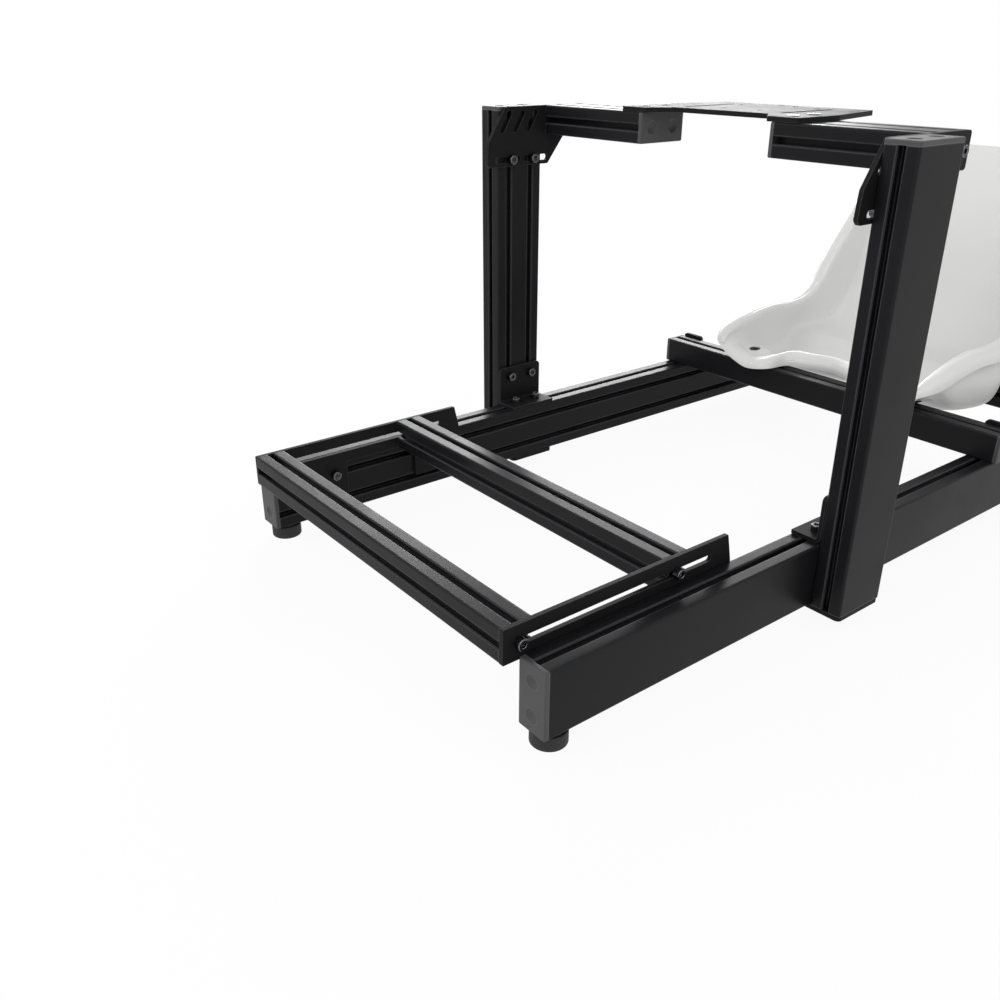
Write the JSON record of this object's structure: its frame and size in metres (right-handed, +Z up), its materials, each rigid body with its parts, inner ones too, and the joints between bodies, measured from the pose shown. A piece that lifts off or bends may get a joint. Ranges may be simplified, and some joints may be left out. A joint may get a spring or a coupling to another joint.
{
  "type": "sim racing cockpit",
  "caption": "Open racing simulator frame of slotted aluminium profile with a pedal deck, uprights with a wheel plate and a low shell seat.",
  "frame": {"origin": "on the floor under the middle of the whole frame's bounding box", "axes": "+X across to the driver's left, +Y from the pedal deck towards the seat, +Z up"},
  "size_m": [0.69, 1.27, 0.551],
  "materials": {
    "black_profile": "satin black anodised",
    "plate_steel": "satin black powder coat",
    "cap_plastic": "matt dark grey",
    "rubber": "matt",
    "seat_plastic": "gloss white"
  },
  "bodies": {
    "root": {"angle_bracket_left": "plate_steel", "angle_bracket_right": "plate_steel", "base_plate_left": "plate_steel", "base_plate_right": "plate_steel", "deck_bar_front": "black_profile", "deck_bar_rear": "black_profile", "deck_side_left": "plate_steel", "deck_side_right": "plate_steel", "foot_front_left": "rubber", "foot_front_right": "rubber", "foot_rear_left": "rubber", "foot_rear_right": "rubber", "gusset_left": "plate_steel", "gusset_right": "plate_steel", "rail_cap_front_left": "cap_plastic", "rail_cap_front_right": "cap_plastic", "rail_cap_rear_left": "cap_plastic", "rail_cap_rear_right": "cap_plastic", "rail_left": "black_profile", "rail_right": "black_profile", "seat_bar_front": "black_profile", "seat_bar_front_bracket_left": "plate_steel", "seat_bar_front_bracket_right": "plate_steel", "seat_bar_front_cap_left": "cap_plastic", "seat_bar_front_cap_right": "cap_plastic", "seat_bar_rear": "black_profile", "seat_bar_rear_bracket_left": "plate_steel", "seat_bar_rear_bracket_right": "plate_steel", "seat_bar_rear_cap_left": "cap_plastic", "seat_bar_rear_cap_right": "cap_plastic", "seat_shell": "seat_plastic", "stub_cap_left": "cap_plastic", "stub_cap_right": "cap_plastic", "stub_left": "black_profile", "stub_right": "black_profile", "upright_cap_left": "cap_plastic", "upright_cap_right": "cap_plastic", "upright_left": "black_profile", "upright_right": "black_profile", "wheel_plate": "plate_steel"}
  },
  "joints": []
}
